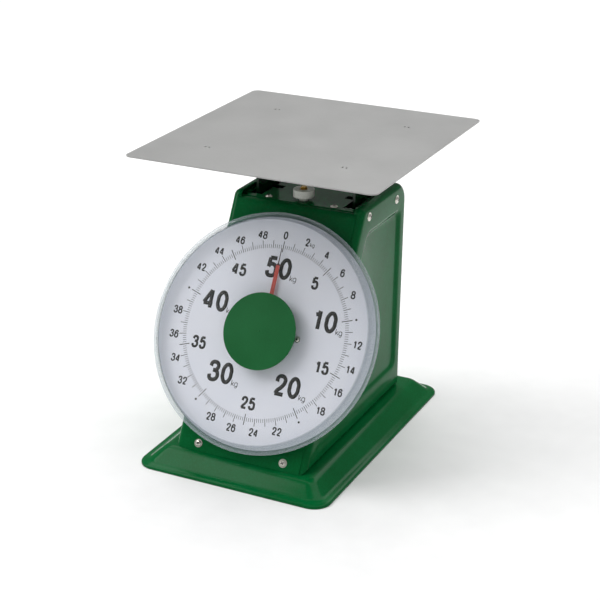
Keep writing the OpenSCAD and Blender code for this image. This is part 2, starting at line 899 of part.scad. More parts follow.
// Close-wound extension spring between the plugs
module spring() {
    z0 = bar_z + plate_t + 6.5 + wire_r;
    z1 = yoke_z - 6.5 - wire_r;
    turns = floor((z1 - z0) / (2 * wire_r + 0.25));
    per_turn = 8;
    sides = 5;
    n = turns * per_turn;
    points = [
        for (i = [0:n])
            let (a = 360 * i / per_turn, z = z0 + (z1 - z0) * i / n)
            for (j = [0:sides - 1])
                let (b = 360 * j / sides, r = coil_r + wire_r * cos(b))
                [r * cos(a), r * sin(a), z + wire_r * sin(b)]
    ];
    polyhedron(
        points = points,
        faces = [
            [for (j = [sides - 1:-1:0]) j],
            [for (j = [0:sides - 1]) n * sides + j],
            for (i = [0:n - 1])
                for (j = [0:sides - 1])
                    [
                        i * sides + j, i * sides + (j + 1) % sides,
                        (i + 1) * sides + (j + 1) % sides, (i + 1) * sides + j
                    ]
        ],
        convexity = 10
    );
}

module spring_left() {
    color(steel) translate([-spring_x, spring_y, 0]) spring();
}

module spring_right() {
    color(steel) translate([spring_x, spring_y, 0]) spring();
}

// ---- Carriage ------------------------------------------------------------------------------

upright_low = lower_shaft_z + travel / 2 - 11;
rail_z = platform_z - 8.5;
pin_y = shaft_y - pin_reach;

module link_pin_holes(r) {
    for (z = [upper_shaft_z, lower_shaft_z])
        translate([-half_w, pin_y, z + travel / 2]) rotate([0, 90, 0]) cylinder(r = r, h = case_w);
}

module upright() {
    difference() {
        along_x(upright_x, upright_x + plate_t) polygon(rounded(
            [
                [upright_y, upright_low], [upright_y + upright_d - 24, upright_low],
                [upright_y + upright_d, upright_low + 40], [upright_y + upright_d, rail_z],
                [upright_y, rail_z]
            ],
            [4, 12, 12, 0.5, 0.5]
        ));
        link_pin_holes(link_pin_r);
    }
}

module upright_right() {
    color("#17401f") upright();
}

module upright_left() {
    color("#17401f") mirror([1, 0, 0]) upright();
}

module carriage_bar_upper() {
    color(zinc) {
        translate([-upright_x, upright_y + upright_d - 16, yoke_z - 8])
            cube([2 * upright_x, 2, 30]);
        translate([-upright_x, upright_y + upright_d - 16, yoke_z - 8])
            cube([2 * upright_x, 14, 2]);
    }
}

module carriage_bar_lower() {
    color(zinc) difference() {
        union() {
            translate([-upright_x, spring_y - 8, bar_z]) cube([2 * upright_x, 32, plate_t]);
            translate([-upright_x, spring_y + 22, bar_z - 12]) cube([2 * upright_x, 2, 13]);
        }
        for (x = [-1, 1])
            translate([x * spring_x, spring_y, bar_z - 5]) cylinder(r = 3, h = 20);
    }
}

// Pins that the far ends of the links hang on
module link_pins() {
    color(steel) both_sides() for (z = [upper_shaft_z, lower_shaft_z])
        translate([upright_x - 1.5, pin_y, z + travel / 2]) rotate([0, 90, 0]) {
            cylinder(r = link_pin_r, h = 1.5 + 2 * plate_t + plate_gap - 0.4);
            cylinder(r = 5, h = 1.5);
        }
}

driver_y = case_front + driver_s * cos(lean) + (dial_up - rack_drop) * sin(lean);
driver_z = base_h - driver_s * sin(lean) + (dial_up - rack_drop) * cos(lean);

// Arm from the lower bar to the rack's foot, with the pin that moves the rack
module driver_arm() {
    arm_x = foot_x + foot_t + 1;
    color(zinc) {
        along_x(arm_x, arm_x + 3) polygon([
            [driver_y - 5, driver_z - 4], [driver_y + 12, driver_z - 5],
            [spring_y - 8, bar_z - 10], [spring_y + 8, bar_z - 10], [spring_y + 8, bar_z],
            [spring_y - 8, bar_z], [driver_y + 12, driver_z + 5], [driver_y - 5, driver_z + 4]
        ]);
        translate([foot_x - 1, driver_y, driver_z]) rotate([0, 90, 0])
            cylinder(r = driver_r, h = foot_t + 3);
    }
}

// Angle along the top of each upright
module rail() {
    x = upright_x + plate_t;
    translate([x - 15, platform_cy - tab_y - 4, rail_z]) cube([17, 2 * tab_y + 8, 2]);
    translate([x, upright_y, rail_z - 14]) cube([2, upright_d, 15]);
}

module rail_right() {
    color("#17401f") rail();
}

module rail_left() {
    color("#17401f") mirror([1, 0, 0]) rail();
}

bar_half = tab_x + 8;

// Front and back bars under the platform, slotted for the platform's tabs
module cross_bars() {
    color("#17401f") for (y = [-1, 1]) difference() {
        translate([-bar_half, platform_cy + y * tab_y - 8, rail_z + 2])
            cube([2 * bar_half, 16, platform_z - rail_z - 2]);
        both_sides() translate([tab_x - 6, platform_cy + y * tab_y - 3, rail_z]) cube([12, 6, 20]);
    }
}

// Thin sheet with four pairs of slits, their tabs pressed down into the cross bars
module platform() {
    color(steel) difference() {
        union() {
            translate([0, platform_cy, platform_z]) linear_extrude(platform_t) polygon(rounded(
                [
                    [-platform_w / 2, -platform_d / 2], [platform_w / 2, -platform_d / 2],
                    [platform_w / 2, platform_d / 2], [-platform_w / 2, platform_d / 2]
                ],
                [platform_r, platform_r, platform_r, platform_r]
            ));
            both_sides() for (y = [-1, 1]) for (x = [-4, 4])
                translate([tab_x + x - 0.6, platform_cy + y * tab_y - 2, platform_z - 4])
                    cube([1.2, 4, 4.5]);
        }
        both_sides() for (y = [-1, 1]) for (x = [-4, 4])
            translate([tab_x + x * 1.3 - 0.6, platform_cy + y * tab_y - 2, platform_z - 1])
                cube([1.2, 4, 5]);
    }
}

// ---- Links and their shafts ----------------------------------------------------------------

// Two arms joined by a tube on the shaft; the far ends have slots for the carriage pins
module link(z) {
    translate([0, shaft_y, z]) rotate([-link_angle, 0, 0]) difference() {
        union() {
            both_sides() translate([link_x, 0, 0]) rotate([0, 90, 0]) hull() {
                cylinder(r = 9, h = plate_t);
                translate([0, -link_far, 0]) cylinder(r = 7, h = plate_t);
            }
            rotate([0, 90, 0]) translate([0, 0, -link_x]) cylinder(r = shaft_r + 2.5, h = 2 * link_x);
        }
        rotate([0, 90, 0]) translate([0, 0, -half_w]) cylinder(r = shaft_r + fit, h = case_w);
        for (s = [-1, 1])
            translate([-half_w, -link_far + s * (link_slot / 2 + 0.1), 0]) rotate([0, 90, 0])
                cylinder(r = link_pin_r + slot_clear, h = case_w);
        translate([-half_w, -link_far - link_slot / 2 - 0.1, -link_pin_r - slot_clear])
            cube([case_w, link_slot + 0.2, 2 * (link_pin_r + slot_clear)]);
    }
}

module upper_link() {
    color(zinc) link(upper_shaft_z);
}

module lower_link() {
    color(zinc) link(lower_shaft_z);
}

module shaft(z) {
    end = chassis_x + plate_t + 4;
    translate([-end, shaft_y, z]) rotate([0, 90, 0]) cylinder(r = shaft_r, h = 2 * end);
}

module upper_shaft() {
    color(steel) shaft(upper_shaft_z);
}

module lower_shaft() {
    color(steel) shaft(lower_shaft_z);
}

module shaft_clips() {
    color(zinc) both_sides() for (z = [upper_shaft_z, lower_shaft_z])
        translate([chassis_x + plate_t, shaft_y, z]) rotate([0, 90, 0])
            tube(shaft_r + 3, shaft_r, 1.2);
}

// ---- Damper and stops ----------------------------------------------------------------------

module damper_cylinder() {
    color(steel) translate([0, damper_y, floor_z]) difference() {
        cylinder(r = damper_r, h = damper_h);
        translate([0, 0, 2]) cylinder(r = damper_r - 2, h = damper_h);
    }
}

module damper_cap() {
    color("#222222") translate([0, damper_y, floor_z + damper_h]) tube(damper_r + 1, 4, 3);
}

module damper_piston() {
    piston_z = floor_z + damper_h - 8;
    color(zinc) translate([0, damper_y, 0]) {
        translate([0, 0, piston_z]) cylinder(r = damper_r - 3, h = 4);
        translate([0, 0, piston_z]) cylinder(r = 2, h = bar_z - piston_z);
    }
}

module overload_stops() {
    h = bar_z - travel - 0.5 - floor_z;
    color("#2b2b2b") for (x = [-1, 1])
        translate([x * (spring_x + plug_nut_r + upright_x) / 2, damper_y, floor_z]) {
            cylinder(r = 5, h = h - 4);
            translate([0, 0, h - 4]) cylinder(r = 7, h = 4);
        }
}

// ---- Assembly ------------------------------------------------------------------------------

base_pan();
side_panel_left();
side_panel_right();
front_panel();
rear_panel();
top_plate();
front_bracket();
front_screws();
top_screws();
side_screws();
rear_screws();
base_screws();
chassis_floor();
chassis_plate_left();
chassis_plate_right();
bridge();
guide_pins();
dial_housing();
dial_plate();
dial_spacers();
dial_screws();
clear_cover();
centre_disc();
movement_strap();
movement_plate();
movement_pillars();
front_bush();
rear_bush();
rack_guides();
rack();
pinion_shaft();
pinion();
pointer_hub();
pointer();
zero_knob();
zero_screw();
zero_yoke();
upper_plugs();
spring_left();
spring_right();
upright_left();
upright_right();
carriage_bar_upper();
carriage_bar_lower();
lower_plugs();
link_pins();
driver_arm();
rail_left();
rail_right();
cross_bars();
platform();
upper_link();
lower_link();
upper_shaft();
lower_shaft();
shaft_clips();
damper_cylinder();
damper_cap();
damper_piston();
overload_stops();
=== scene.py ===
import json
import math

import bmesh
import bpy
from mathutils import Matrix, Vector


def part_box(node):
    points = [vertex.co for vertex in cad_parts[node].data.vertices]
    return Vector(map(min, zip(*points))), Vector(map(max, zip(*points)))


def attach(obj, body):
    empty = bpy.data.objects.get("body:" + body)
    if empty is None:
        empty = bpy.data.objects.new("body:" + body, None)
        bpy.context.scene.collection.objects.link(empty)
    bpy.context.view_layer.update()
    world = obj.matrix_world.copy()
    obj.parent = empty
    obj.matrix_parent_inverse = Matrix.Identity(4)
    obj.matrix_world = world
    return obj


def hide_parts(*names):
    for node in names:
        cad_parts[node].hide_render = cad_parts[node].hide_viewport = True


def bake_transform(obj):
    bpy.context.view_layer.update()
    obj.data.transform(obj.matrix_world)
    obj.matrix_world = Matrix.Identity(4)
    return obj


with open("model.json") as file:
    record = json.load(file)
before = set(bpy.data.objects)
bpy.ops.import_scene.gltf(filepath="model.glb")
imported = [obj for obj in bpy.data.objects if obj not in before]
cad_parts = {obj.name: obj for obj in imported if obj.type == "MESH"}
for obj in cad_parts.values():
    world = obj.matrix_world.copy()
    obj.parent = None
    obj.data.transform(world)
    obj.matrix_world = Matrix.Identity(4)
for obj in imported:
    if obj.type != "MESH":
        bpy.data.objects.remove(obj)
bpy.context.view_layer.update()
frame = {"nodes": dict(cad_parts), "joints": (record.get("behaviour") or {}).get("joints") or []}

# ---- Camera --------------------------------------------------------------------------------
# Stands to the right of the dial and looks down on it, far off, through a long lens.
# The lens is shifted, which moves the view without turning the camera.
def linked(name, data):
    """An object in the scene for a mesh, a curve, a lamp or a camera."""
    obj = bpy.data.objects.new(name, data)
    bpy.context.scene.collection.objects.link(obj)
    return obj


camera = linked("camera", bpy.data.cameras.new("camera"))
bpy.context.scene.camera = camera
camera.location = (0.8186, -1.7356, 0.9574)
camera.rotation_euler = (math.radians(90 - 22.686), 0, math.radians(27.416))
camera.data.sensor_width = 36
camera.data.lens = 96.26
camera.data.shift_x = 0.0967
camera.data.shift_y = 0.0270
camera.data.clip_end = 20


# ---- Base tray -----------------------------------------------------------------------------
# Deep-drawn tray of 1.2 mm steel: rolled lip, hollow toe, broad slope and a soft shoulder.
# Sprayed and baked green enamel, whose gloss shows a faint orange peel. Screws hold it to the
# chassis floor.
def linear(code):
    """An sRGB hex colour as the linear values that a shader takes."""
    parts = [int(code[i:i + 2], 16) / 255 for i in (1, 3, 5)]
    return [p / 12.92 if p <= 0.04045 else ((p + 0.055) / 1.055) ** 2.4 for p in parts] + [1]


def add(material, kind, inputs, **settings):
    """Adds one node, makes its settings, and fills its inputs with values or links."""
    new = material.node_tree.nodes.new("ShaderNode" + kind)
    for name, value in settings.items():
        setattr(new, name, value)
    for name, value in inputs.items():
        if isinstance(value, bpy.types.NodeSocket):
            material.node_tree.links.new(value, new.inputs[name])
        else:
            new.inputs[name].default_value = value
    return new


def blank(name):
    """A material with an empty node tree, and its Object coordinates."""
    material = bpy.data.materials.new(name)
    material.use_nodes = True
    material.node_tree.nodes.clear()
    return material, add(material, "TexCoord", {}).outputs["Object"]


def close(material, shader):
    """Ends a material in its surface shader."""
    add(material, "OutputMaterial", {"Surface": shader.outputs["BSDF"]})
    return material


def finish(name, dark, light, rough, grain, bump=0.0, stretch=(1, 1, 1), **shader):
    """A finish whose tone and gloss wander over its surface, with a fine texture of size grain."""
    material, place = blank(name)
    placed = add(material, "Mapping", {"Vector": place, "Scale": stretch}).outputs["Vector"]
    fine = add(material, "TexNoise", {"Vector": placed, "Scale": 1 / grain, "Detail": 3.0})
    broad = add(material, "TexNoise", {"Vector": place, "Scale": 22.0, "Detail": 2.0})
    mixed = add(material, "Math", {0: fine.outputs["Fac"], 1: broad.outputs["Fac"]}, operation="ADD")
    tone = add(material, "MapRange", {"Value": mixed.outputs[0], "From Min": 0.7, "From Max": 1.3})
    colour = add(material, "MixRGB", {
        "Fac": tone.outputs[0], "Color1": linear(dark), "Color2": linear(light)})
    gloss = add(material, "MapRange", {
        "Value": broad.outputs["Fac"], "From Min": 0.3, "From Max": 0.7,
        "To Min": rough[0], "To Max": rough[1]})
    values = {"Base Color": colour.outputs[0], "Roughness": gloss.outputs[0]}
    if bump:
        values["Normal"] = add(material, "Bump", {
            "Height": fine.outputs["Fac"], "Strength": 1.0, "Distance": bump}).outputs["Normal"]
    for socket, value in shader.items():
        values[socket.replace("_", " ").title().replace("Ior", "IOR")] = value
    return close(material, add(material, "BsdfPrincipled", values))


def dress(material, *nodes):
    """Gives CAD nodes their finish."""
    for node in nodes:
        for slot in frame["nodes"][node].material_slots:
            slot.material = material


def piece(name, shape, material, body, slot, *nodes, smooth=True):
    """Turns a finished bmesh into an object on its body, and hides the CAD nodes that it stands for."""
    mesh = bpy.data.meshes.new(name)
    shape.to_mesh(mesh)
    shape.free()
    mesh.materials.append(material)
    if smooth:
        mesh.shade_smooth()
        mesh.set_sharp_from_angle(angle=math.radians(38))
    obj = linked(name, mesh)
    if body:
        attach(obj, body)
    if nodes:
        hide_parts(*nodes)
    return obj


def thicken(obj, thickness):
    """Gives a shell its sheet thickness, inwards from its outer face."""
    wall = obj.modifiers.new("sheet", "SOLIDIFY")
    wall.thickness, wall.offset = thickness, -1
    return obj


enamel = finish("green_baked_enamel", "#035929", "#066434", (0.10, 0.15), 0.0022, bump=0.000003,
                specular_ior_level=0.10)
tray_low, tray_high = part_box("base_pan")
tray_half = (tray_high - tray_low) / 2
tray_middle = (tray_high + tray_low) / 2
tray_radius, tray_sheet = 0.023, 0.0012

tray = bmesh.new()
tray.faces.new([
    tray.verts.new((x * tray_half.x, tray_middle.y + y * tray_half.y, 0))
    for x, y in ((-1, -1), (1, -1), (1, 1), (-1, 1))])
bmesh.ops.bevel(tray, geom=list(tray.verts), offset=tray_radius, offset_type="OFFSET", segments=12,
                profile=0.5, affect="VERTICES", material=-1)
# Distance in from the rim, height and corner radius of each turn of the section
inset, radius = 0.0, tray_radius
top = next(iter(tray.faces))
for next_inset, height, next_radius in (
        (0.0, 0.0018, 0.023), (0.0001, 0.0026, 0.023), (0.0006, 0.0034, 0.0226), (0.0016, 0.0041, 0.022),
        (0.0032, 0.0046, 0.021), (0.0055, 0.0050, 0.0195), (0.0078, 0.0054, 0.018), (0.0096, 0.0060, 0.017),
        (0.0110, 0.0070, 0.016), (0.0122, 0.0081, 0.0155), (0.0160, 0.0117, 0.0140),
        (0.0200, 0.0155, 0.0125), (0.0222, 0.0175, 0.0118), (0.0238, 0.0190, 0.0112),
        (0.0254, 0.0203, 0.0107), (0.0270, 0.0213, 0.0102),
        (0.0288, 0.0221, 0.0096), (0.0306, 0.0227, 0.0091), (0.0325, 0.0230, 0.0086)):
    grown = bmesh.ops.extrude_face_region(tray, geom=[top])["geom"]
    if top.is_valid:
        bmesh.ops.delete(tray, geom=[top], context="FACES_ONLY")
    top = next(part for part in grown if isinstance(part, bmesh.types.BMFace))
    for vert in top.verts:
        side = Vector((math.copysign(1, vert.co.x), math.copysign(1, vert.co.y - tray_middle.y), 0))
        corner = Vector((side.x * (tray_half.x - inset - radius),
                         tray_middle.y + side.y * (tray_half.y - inset - radius), vert.co.z))
        ray = (vert.co - corner) / radius
        vert.co = Vector((side.x * (tray_half.x - next_inset - next_radius),
                          tray_middle.y + side.y * (tray_half.y - next_inset - next_radius),
                          height)) + ray * next_radius
    inset, radius = next_inset, next_radius
bmesh.ops.recalc_face_normals(tray, faces=tray.faces)
if top.normal.z < 0:
    bmesh.ops.reverse_faces(tray, faces=tray.faces)
thicken(piece("base_tray", tray, enamel, "case", "green_enamel", "base_pan"), tray_sheet)
dress(enamel, "front_panel", "rear_panel", "top_plate", "dial_housing")

# ---- Side panels ---------------------------------------------------------------------------
# Pressed steel dishes: their edges fold over in a wide curve and a field is sunk in the middle.
# Screwed to ears on the chassis, in the same green enamel.
turn = next(j for j in frame["joints"] if j["name"] == "pointer_turn")
dial_centre = Vector(turn["pos_m"])
inward = Vector(turn["axis"]).normalized()
across = Vector((1, 0, 0))
up = across.cross(inward)
on_dial = Matrix.Translation(dial_centre) @ Matrix((across, up, -inward)).transposed().to_4x4()
lean_run = up.y / up.z


def front_line(height, behind=0.0):
    """Y of the leaning front at a height, and at a depth square behind its face."""
    return dial_centre.y + (height - dial_centre.z) * lean_run + behind / up.z


panel_low, panel_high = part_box("side_panel_right")
fold, field_depth, slope_width = 0.0086, 0.004, 0.0055
fold_steps, panel_sheet = 9, 0.001
top_corner, front_corner = 0.026, 0.0053
field_front, field_back, field_edge = 0.029, 0.019, 0.034
field_corner, crease = 0.009, 0.0022
lip_edge, lip_foot = 0.078, 0.277
notch_edge, notch_foot, notch_head, notch_back = 0.0826, 0.302, 0.3102, 0.012
for side, name in ((1, "right"), (-1, "left")):
    dish = bmesh.new()
    back, foot, head = panel_high.y, panel_low.z, panel_high.z
    corners = [dish.verts.new((panel_low.x, y, z)) for y, z in (
        (front_line(foot, panel_sheet), foot), (back, foot), (back, head),
        (front_line(head, panel_sheet), head))]
    dish.faces.new(corners)
    for corner, rounding in ((corners[2], top_corner), (corners[3], front_corner)):
        bmesh.ops.bevel(dish, geom=[corner], offset=rounding, offset_type="OFFSET", segments=12, profile=0.5,
                        affect="VERTICES", material=-1)
    face = next(iter(dish.faces))
    grown = bmesh.ops.extrude_face_region(dish, geom=[face])["geom"]
    if face.is_valid:
        bmesh.ops.delete(dish, geom=[face], context="FACES_ONLY")
    outer = next(part for part in grown if isinstance(part, bmesh.types.BMFace))
    bmesh.ops.translate(dish, verts=outer.verts, vec=(panel_high.x - fold - panel_low.x, 0, 0))
    if outer.normal.x < 0:
        outer.normal_flip()
    # The edge folds over in a quarter of a circle
    for step in range(fold_steps):
        start, end = (math.radians(90 * turned / fold_steps) for turned in (step, step + 1))
        bmesh.ops.inset_region(dish, faces=[outer], thickness=fold * (math.cos(start) - math.cos(end)),
                               depth=fold * (math.sin(end) - math.sin(start)), use_even_offset=True)
    field = [Vector((0, -math.cos(math.atan(lean_run)), math.sin(math.atan(lean_run)))),
             Vector((0, 1, 0)), Vector((0, 0, -1)), Vector((0, 0, 1))]
    points = [Vector((0, front_line(0.15, field_front), 0.15)), Vector((0, back - field_back, 0)),
              Vector((0, 0, foot + field_edge)), Vector((0, 0, head - field_edge))]
    for normal, point in zip(field, points):
        plane = [f for f in dish.faces if abs(f.normal.x) > 0.999 and
                 all(abs(v.co.x - panel_high.x) < 1e-5 for v in f.verts)]
        geom = plane + list({e for f in plane for e in f.edges}) + list({v for f in plane for v in f.verts})
        bmesh.ops.bisect_plane(dish, geom=geom, plane_co=point, plane_no=normal, dist=1e-6)
    middle = Vector((panel_high.x, (front_line(0.17, 0.03) + back) / 2, 0.17))
    floor_face = min((f for f in dish.faces if all(abs(v.co.x - panel_high.x) < 1e-5 for v in f.verts)),
                     key=lambda f: (f.calc_center_bounds() - middle).length)
    bmesh.ops.inset_region(dish, faces=[floor_face], thickness=slope_width, depth=-field_depth,
                           use_even_offset=True)
    diagonals = [e for e in dish.edges if abs(e.verts[0].co.x - e.verts[1].co.x) > field_depth * 0.9 and
                 max(v.co.x for v in e.verts) > panel_high.x - 1e-5 and
                 min(v.co.x for v in e.verts) > panel_high.x - field_depth * 1.1]
    bmesh.ops.bevel(dish, geom=diagonals, offset=field_corner, offset_type="OFFSET", segments=6, profile=0.5,
                    affect="EDGES", material=-1)
    creases = [e for e in dish.edges if len(e.link_faces) == 2 and e.calc_face_angle(0) > 0.3 and
               all(v.co.x > panel_high.x - field_depth * 1.1 and foot + 0.02 < v.co.z < head - 0.02 and
                   front_line(v.co.z, 0.02) < v.co.y < back - 0.012 for v in e.verts) and
               abs(e.verts[0].co.x - e.verts[1].co.x) < 1e-5]
    bmesh.ops.bevel(dish, geom=creases, offset=crease, offset_type="OFFSET", segments=3, profile=0.5,
                    affect="EDGES", material=-1)
    # The lips along the top are narrow, and the front panel's rolled edge passes through a notch
    for normal, place in ((across, lip_edge), (across, notch_edge), (Vector((0, 0, 1)), lip_foot),
                          (Vector((0, 0, 1)), notch_foot), (Vector((0, 0, 1)), notch_head)):
        lips = [f for f in dish.faces if f.calc_center_bounds().x < panel_high.x - fold]
        geom = lips + list({e for f in lips for e in f.edges}) + list({v for f in lips for v in f.verts})
        bmesh.ops.bisect_plane(dish, geom=geom, plane_co=normal * place, plane_no=normal, dist=1e-6)
    cut = [f for f in dish.faces for c in [f.calc_center_median()]
           if (c.z > lip_foot and c.x < lip_edge)
           or (notch_foot < c.z < notch_head and c.x < notch_edge and c.y < notch_back)]
    bmesh.ops.delete(dish, geom=cut, context="FACES")
    bmesh.ops.remove_doubles(dish, verts=dish.verts, dist=0.0002)
    if side < 0:
        bmesh.ops.scale(dish, vec=(-1, 1, 1), verts=dish.verts)
    bmesh.ops.recalc_face_normals(dish, faces=dish.faces)
    if max(dish.faces, key=lambda f: f.calc_area()).normal.x * side < 0:
        bmesh.ops.reverse_faces(dish, faces=dish.faces)
    thicken(piece("side_dish_" + name, dish, enamel, "case", "green_enamel", "side_panel_" + name),
            panel_sheet)


# ---- Chassis -------------------------------------------------------------------------------
# Bent zinc-plated sheet: floor, side plates, bridge and the links and bars of the carriage.
# Two wound springs carry the load, and a brass movement turns the pointer. Domed cross-recess
# screws in nickel hold the outer panels.
# Zinc plating is cloudy and a little blue
zinc = finish("zinc_plated_sheet", "#83898d", "#a9aeb0", (0.30, 0.42), 0.004, bump=0.00001,
              metallic=1.0)
dress(zinc, "front_bracket", "chassis_floor", "chassis_plate_left", "chassis_plate_right",
      "bridge", "movement_strap", "rack_guides", "shaft_clips", "zero_yoke", "upper_plugs",
      "carriage_bar_upper", "carriage_bar_lower", "lower_plugs", "driver_arm", "upper_link",
      "lower_link", "damper_piston", "dial_spacers")
# Ground steel shines in fine lines
bright = finish("ground_bright_steel", "#a6a8aa", "#c4c5c6", (0.16, 0.24), 0.0006, bump=0.000004,
                stretch=(1, 12, 12), metallic=1.0)
dress(bright, "guide_pins", "upper_shaft", "lower_shaft", "link_pins", "pinion_shaft", "rack",
      "damper_cylinder")
# Oil darkens the spring wire and leaves a soft shine
wire = finish("oiled_spring_wire", "#4c4e50", "#6b6d70", (0.22, 0.34), 0.001, bump=0.00001, metallic=1.0)
for node in ("spring_left", "spring_right"):
    low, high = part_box(node)
    wire_radius, turns, steps = 0.0019, 32, 16
    coil_radius = (high.x - low.x) / 2 - wire_radius
    middle = (low + high) / 2
    pitch = (high.z - low.z - 2 * wire_radius) / turns
    spring = bmesh.new()
    section = bmesh.ops.create_circle(spring, cap_ends=False, segments=8, radius=wire_radius)["verts"]
    bmesh.ops.rotate(spring, cent=(0, 0, 0), matrix=Matrix.Rotation(math.radians(90), 3, "X"), verts=section)
    bmesh.ops.translate(spring, vec=(coil_radius, 0, 0), verts=section)
    bmesh.ops.spin(spring, geom=spring.verts[:] + spring.edges[:], cent=(0, 0, 0), axis=(0, 0, 1),
                   dvec=(0, 0, pitch / steps), angle=math.tau * turns, steps=steps * turns, use_merge=False)
    bmesh.ops.holes_fill(spring, edges=[e for e in spring.edges if e.is_boundary], sides=0)
    bmesh.ops.recalc_face_normals(spring, faces=spring.faces)
    bmesh.ops.translate(spring, vec=(middle.x, middle.y, low.z + wire_radius), verts=spring.verts)
    coil = piece(node + "_coil", spring, wire, None, "spring_steel", node)
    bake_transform(coil)
# Turned brass is yellow, with a clear shine
brass = finish("turned_brass", "#9c7a35", "#c09a50", (0.18, 0.28), 0.0008, bump=0.000005, metallic=1.0)
dress(brass, "movement_plate", "movement_pillars", "front_bush", "rear_bush", "pinion", "zero_screw")
# Rubber is black without gloss, and moulded plastic has a dull one
rubber = finish("black_rubber", "#141414", "#202020", (0.6, 0.75), 0.0008, bump=0.00002)
dress(rubber, "overload_stops")
moulded = finish("black_moulded_plastic", "#101010", "#1a1a1a", (0.38, 0.5), 0.0006, bump=0.00001)
dress(moulded, "pointer_hub", "damper_cap")
# Nickel gives the screws a warm, light shine
nickel = finish("nickel_plated_screws", "#dad8ce", "#e8e6dc", (0.24, 0.34), 0.0008, bump=0.000006,
                metallic=1.0)
dress(nickel, "base_screws")


def fixings(name, node, normals, radius):
    """Domed cross-recess heads on washers, where the CAD has its screws; each cross recess is a dark box in
    the black plastic finish, as painted shade.
    """
    heads, painted_recess_shade = bmesh.new(), bmesh.new()
    points = [v.co.copy() for v in frame["nodes"][node].data.vertices]
    for normal in normals:
        highest = max(p.dot(normal) for p in points)
        groups = []
        for point in points:
            if point.dot(normal) > highest - 0.0001:
                near = next((g for g in groups if (g[0] - point).length < 2.2 * radius), None)
                if near:
                    near.append(point)
                else:
                    groups.append([point])
        for group in groups:
            middle = Vector([(min(p[i] for p in group) + max(p[i] for p in group)) / 2 for i in range(3)])
            seat = Matrix.Translation(middle) @ normal.to_track_quat("Z", "Y").to_matrix().to_4x4()
            height = radius * 0.55
            dome = bmesh.ops.create_uvsphere(heads, u_segments=28, v_segments=14, radius=radius)["verts"]
            bmesh.ops.scale(heads, vec=(1, 1, 0.6), verts=dome)
            bmesh.ops.translate(heads, vec=(0, 0, -radius * 0.6), verts=dome)
            bmesh.ops.transform(heads, matrix=seat, verts=dome)
            bmesh.ops.create_cone(heads, cap_ends=True, segments=32, radius1=radius * 1.34,
                                  radius2=radius * 1.28, depth=radius * 0.12,
                                  matrix=seat @ Matrix.Translation((0, 0, -height)))
            # The cross recess is two dark boxes in the black plastic finish: painted shade in the hollow
            length, width, depth = radius * 1.05, radius * 0.24, radius * 0.2
            for size in ((length, width, depth), (width, length, depth)):
                arm = bmesh.ops.create_cube(painted_recess_shade, size=1)["verts"]
                bmesh.ops.scale(painted_recess_shade, vec=size, verts=arm)
                bmesh.ops.rotate(painted_recess_shade, cent=(0, 0, 0), matrix=Matrix.Rotation(0.5, 3, "Z"), verts=arm)
                bmesh.ops.translate(painted_recess_shade, vec=(0, 0, -radius * 0.085), verts=arm)
                bmesh.ops.transform(painted_recess_shade, matrix=seat, verts=arm)
    piece(name + "_heads", heads, nickel, "case", "nickel_screws", node)
    piece(name + "_recesses", painted_recess_shade, moulded, "case", "nickel_screws")


fixings("front_screw", "front_screws", [-inward], 0.0042)
fixings("top_screw", "top_screws", [Vector((0, 0, 1))], 0.0036)
fixings("side_screw", "side_screws", [Vector((1, 0, 0)), Vector((-1, 0, 0))], 0.0042)
fixings("rear_screw", "rear_screws", [Vector((0, 1, 0))], 0.0036)
fixings("dial_screw", "dial_screws", [-inward], 0.0030)

# ---- Uprights and rails --------------------------------------------------------------------
# Thin steel plates that rise from the carriage through the top of the case, with angle rails
# and cross bars under the platform. Their gloss green paint is darkened nearly to black: painted
# shade from the platform over them.
shade_darkened_green = finish("green_gloss_paint_with_painted_shade", "#0a2a15", "#0e341c", (0.14, 0.20), 0.002, bump=0.000006,
                    specular_ior_level=0.3)
dress(shade_darkened_green, "upright_left", "upright_right", "rail_left", "rail_right", "cross_bars")

# ---- Platform ------------------------------------------------------------------------------
# Flat stainless sheet, whose tabs are pressed down through slits into the cross bars.
# Its matt rolled grain runs along its width, and is drawn coarser than it is so that it shows.
stainless = finish("matt_rolled_stainless", "#a4a4a3", "#aaaaa9", (0.42, 0.44), 0.0007, bump=0.000008,
                   stretch=(0.05, 1, 1), metallic=1.0)
sheet_low, sheet_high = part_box("platform")
sheet_corner, sheet_thickness = 0.009, 0.0015
slit_x, slit_y, slit_inner, slit_outer, slit_half = 0.092, 0.097, 0.0018, 0.0034, 0.0018
sheet_middle = (sheet_low + sheet_high) / 2
sheet = bmesh.new()
outer = [sheet.verts.new((x, y, sheet_high.z)) for x, y in (
    (sheet_low.x, sheet_low.y), (sheet_high.x, sheet_low.y), (sheet_high.x, sheet_high.y),
    (sheet_low.x, sheet_high.y))]
sheet.faces.new(outer)
bmesh.ops.bevel(sheet, geom=outer, offset=sheet_corner, offset_type="OFFSET", segments=8, profile=0.5,
                affect="VERTICES", material=-1)
# A slit on each side of each tab
slit_edges = [(across, side * (slit_x + off)) for side in (-1, 1)
              for off in (-slit_outer, -slit_inner, slit_inner, slit_outer)]
slit_edges += [(Vector((0, 1, 0)), sheet_middle.y + side * slit_y + off) for side in (-1, 1)
               for off in (-slit_half, slit_half)]
for normal, place in slit_edges:
    bmesh.ops.bisect_plane(sheet, geom=sheet.verts[:] + sheet.edges[:] + sheet.faces[:],
                           plane_co=normal * place, plane_no=normal, dist=1e-7)
slits = [f for f in sheet.faces for c in [f.calc_center_median()]
         if slit_inner < abs(abs(c.x) - slit_x) < slit_outer
         and abs(abs(c.y - sheet_middle.y) - slit_y) < slit_half]
bmesh.ops.delete(sheet, geom=slits, context="FACES")
plate = piece("platform_sheet", sheet, stainless, "carriage", "stainless_steel", "platform")
thicken(plate, sheet_thickness).data.shade_flat()

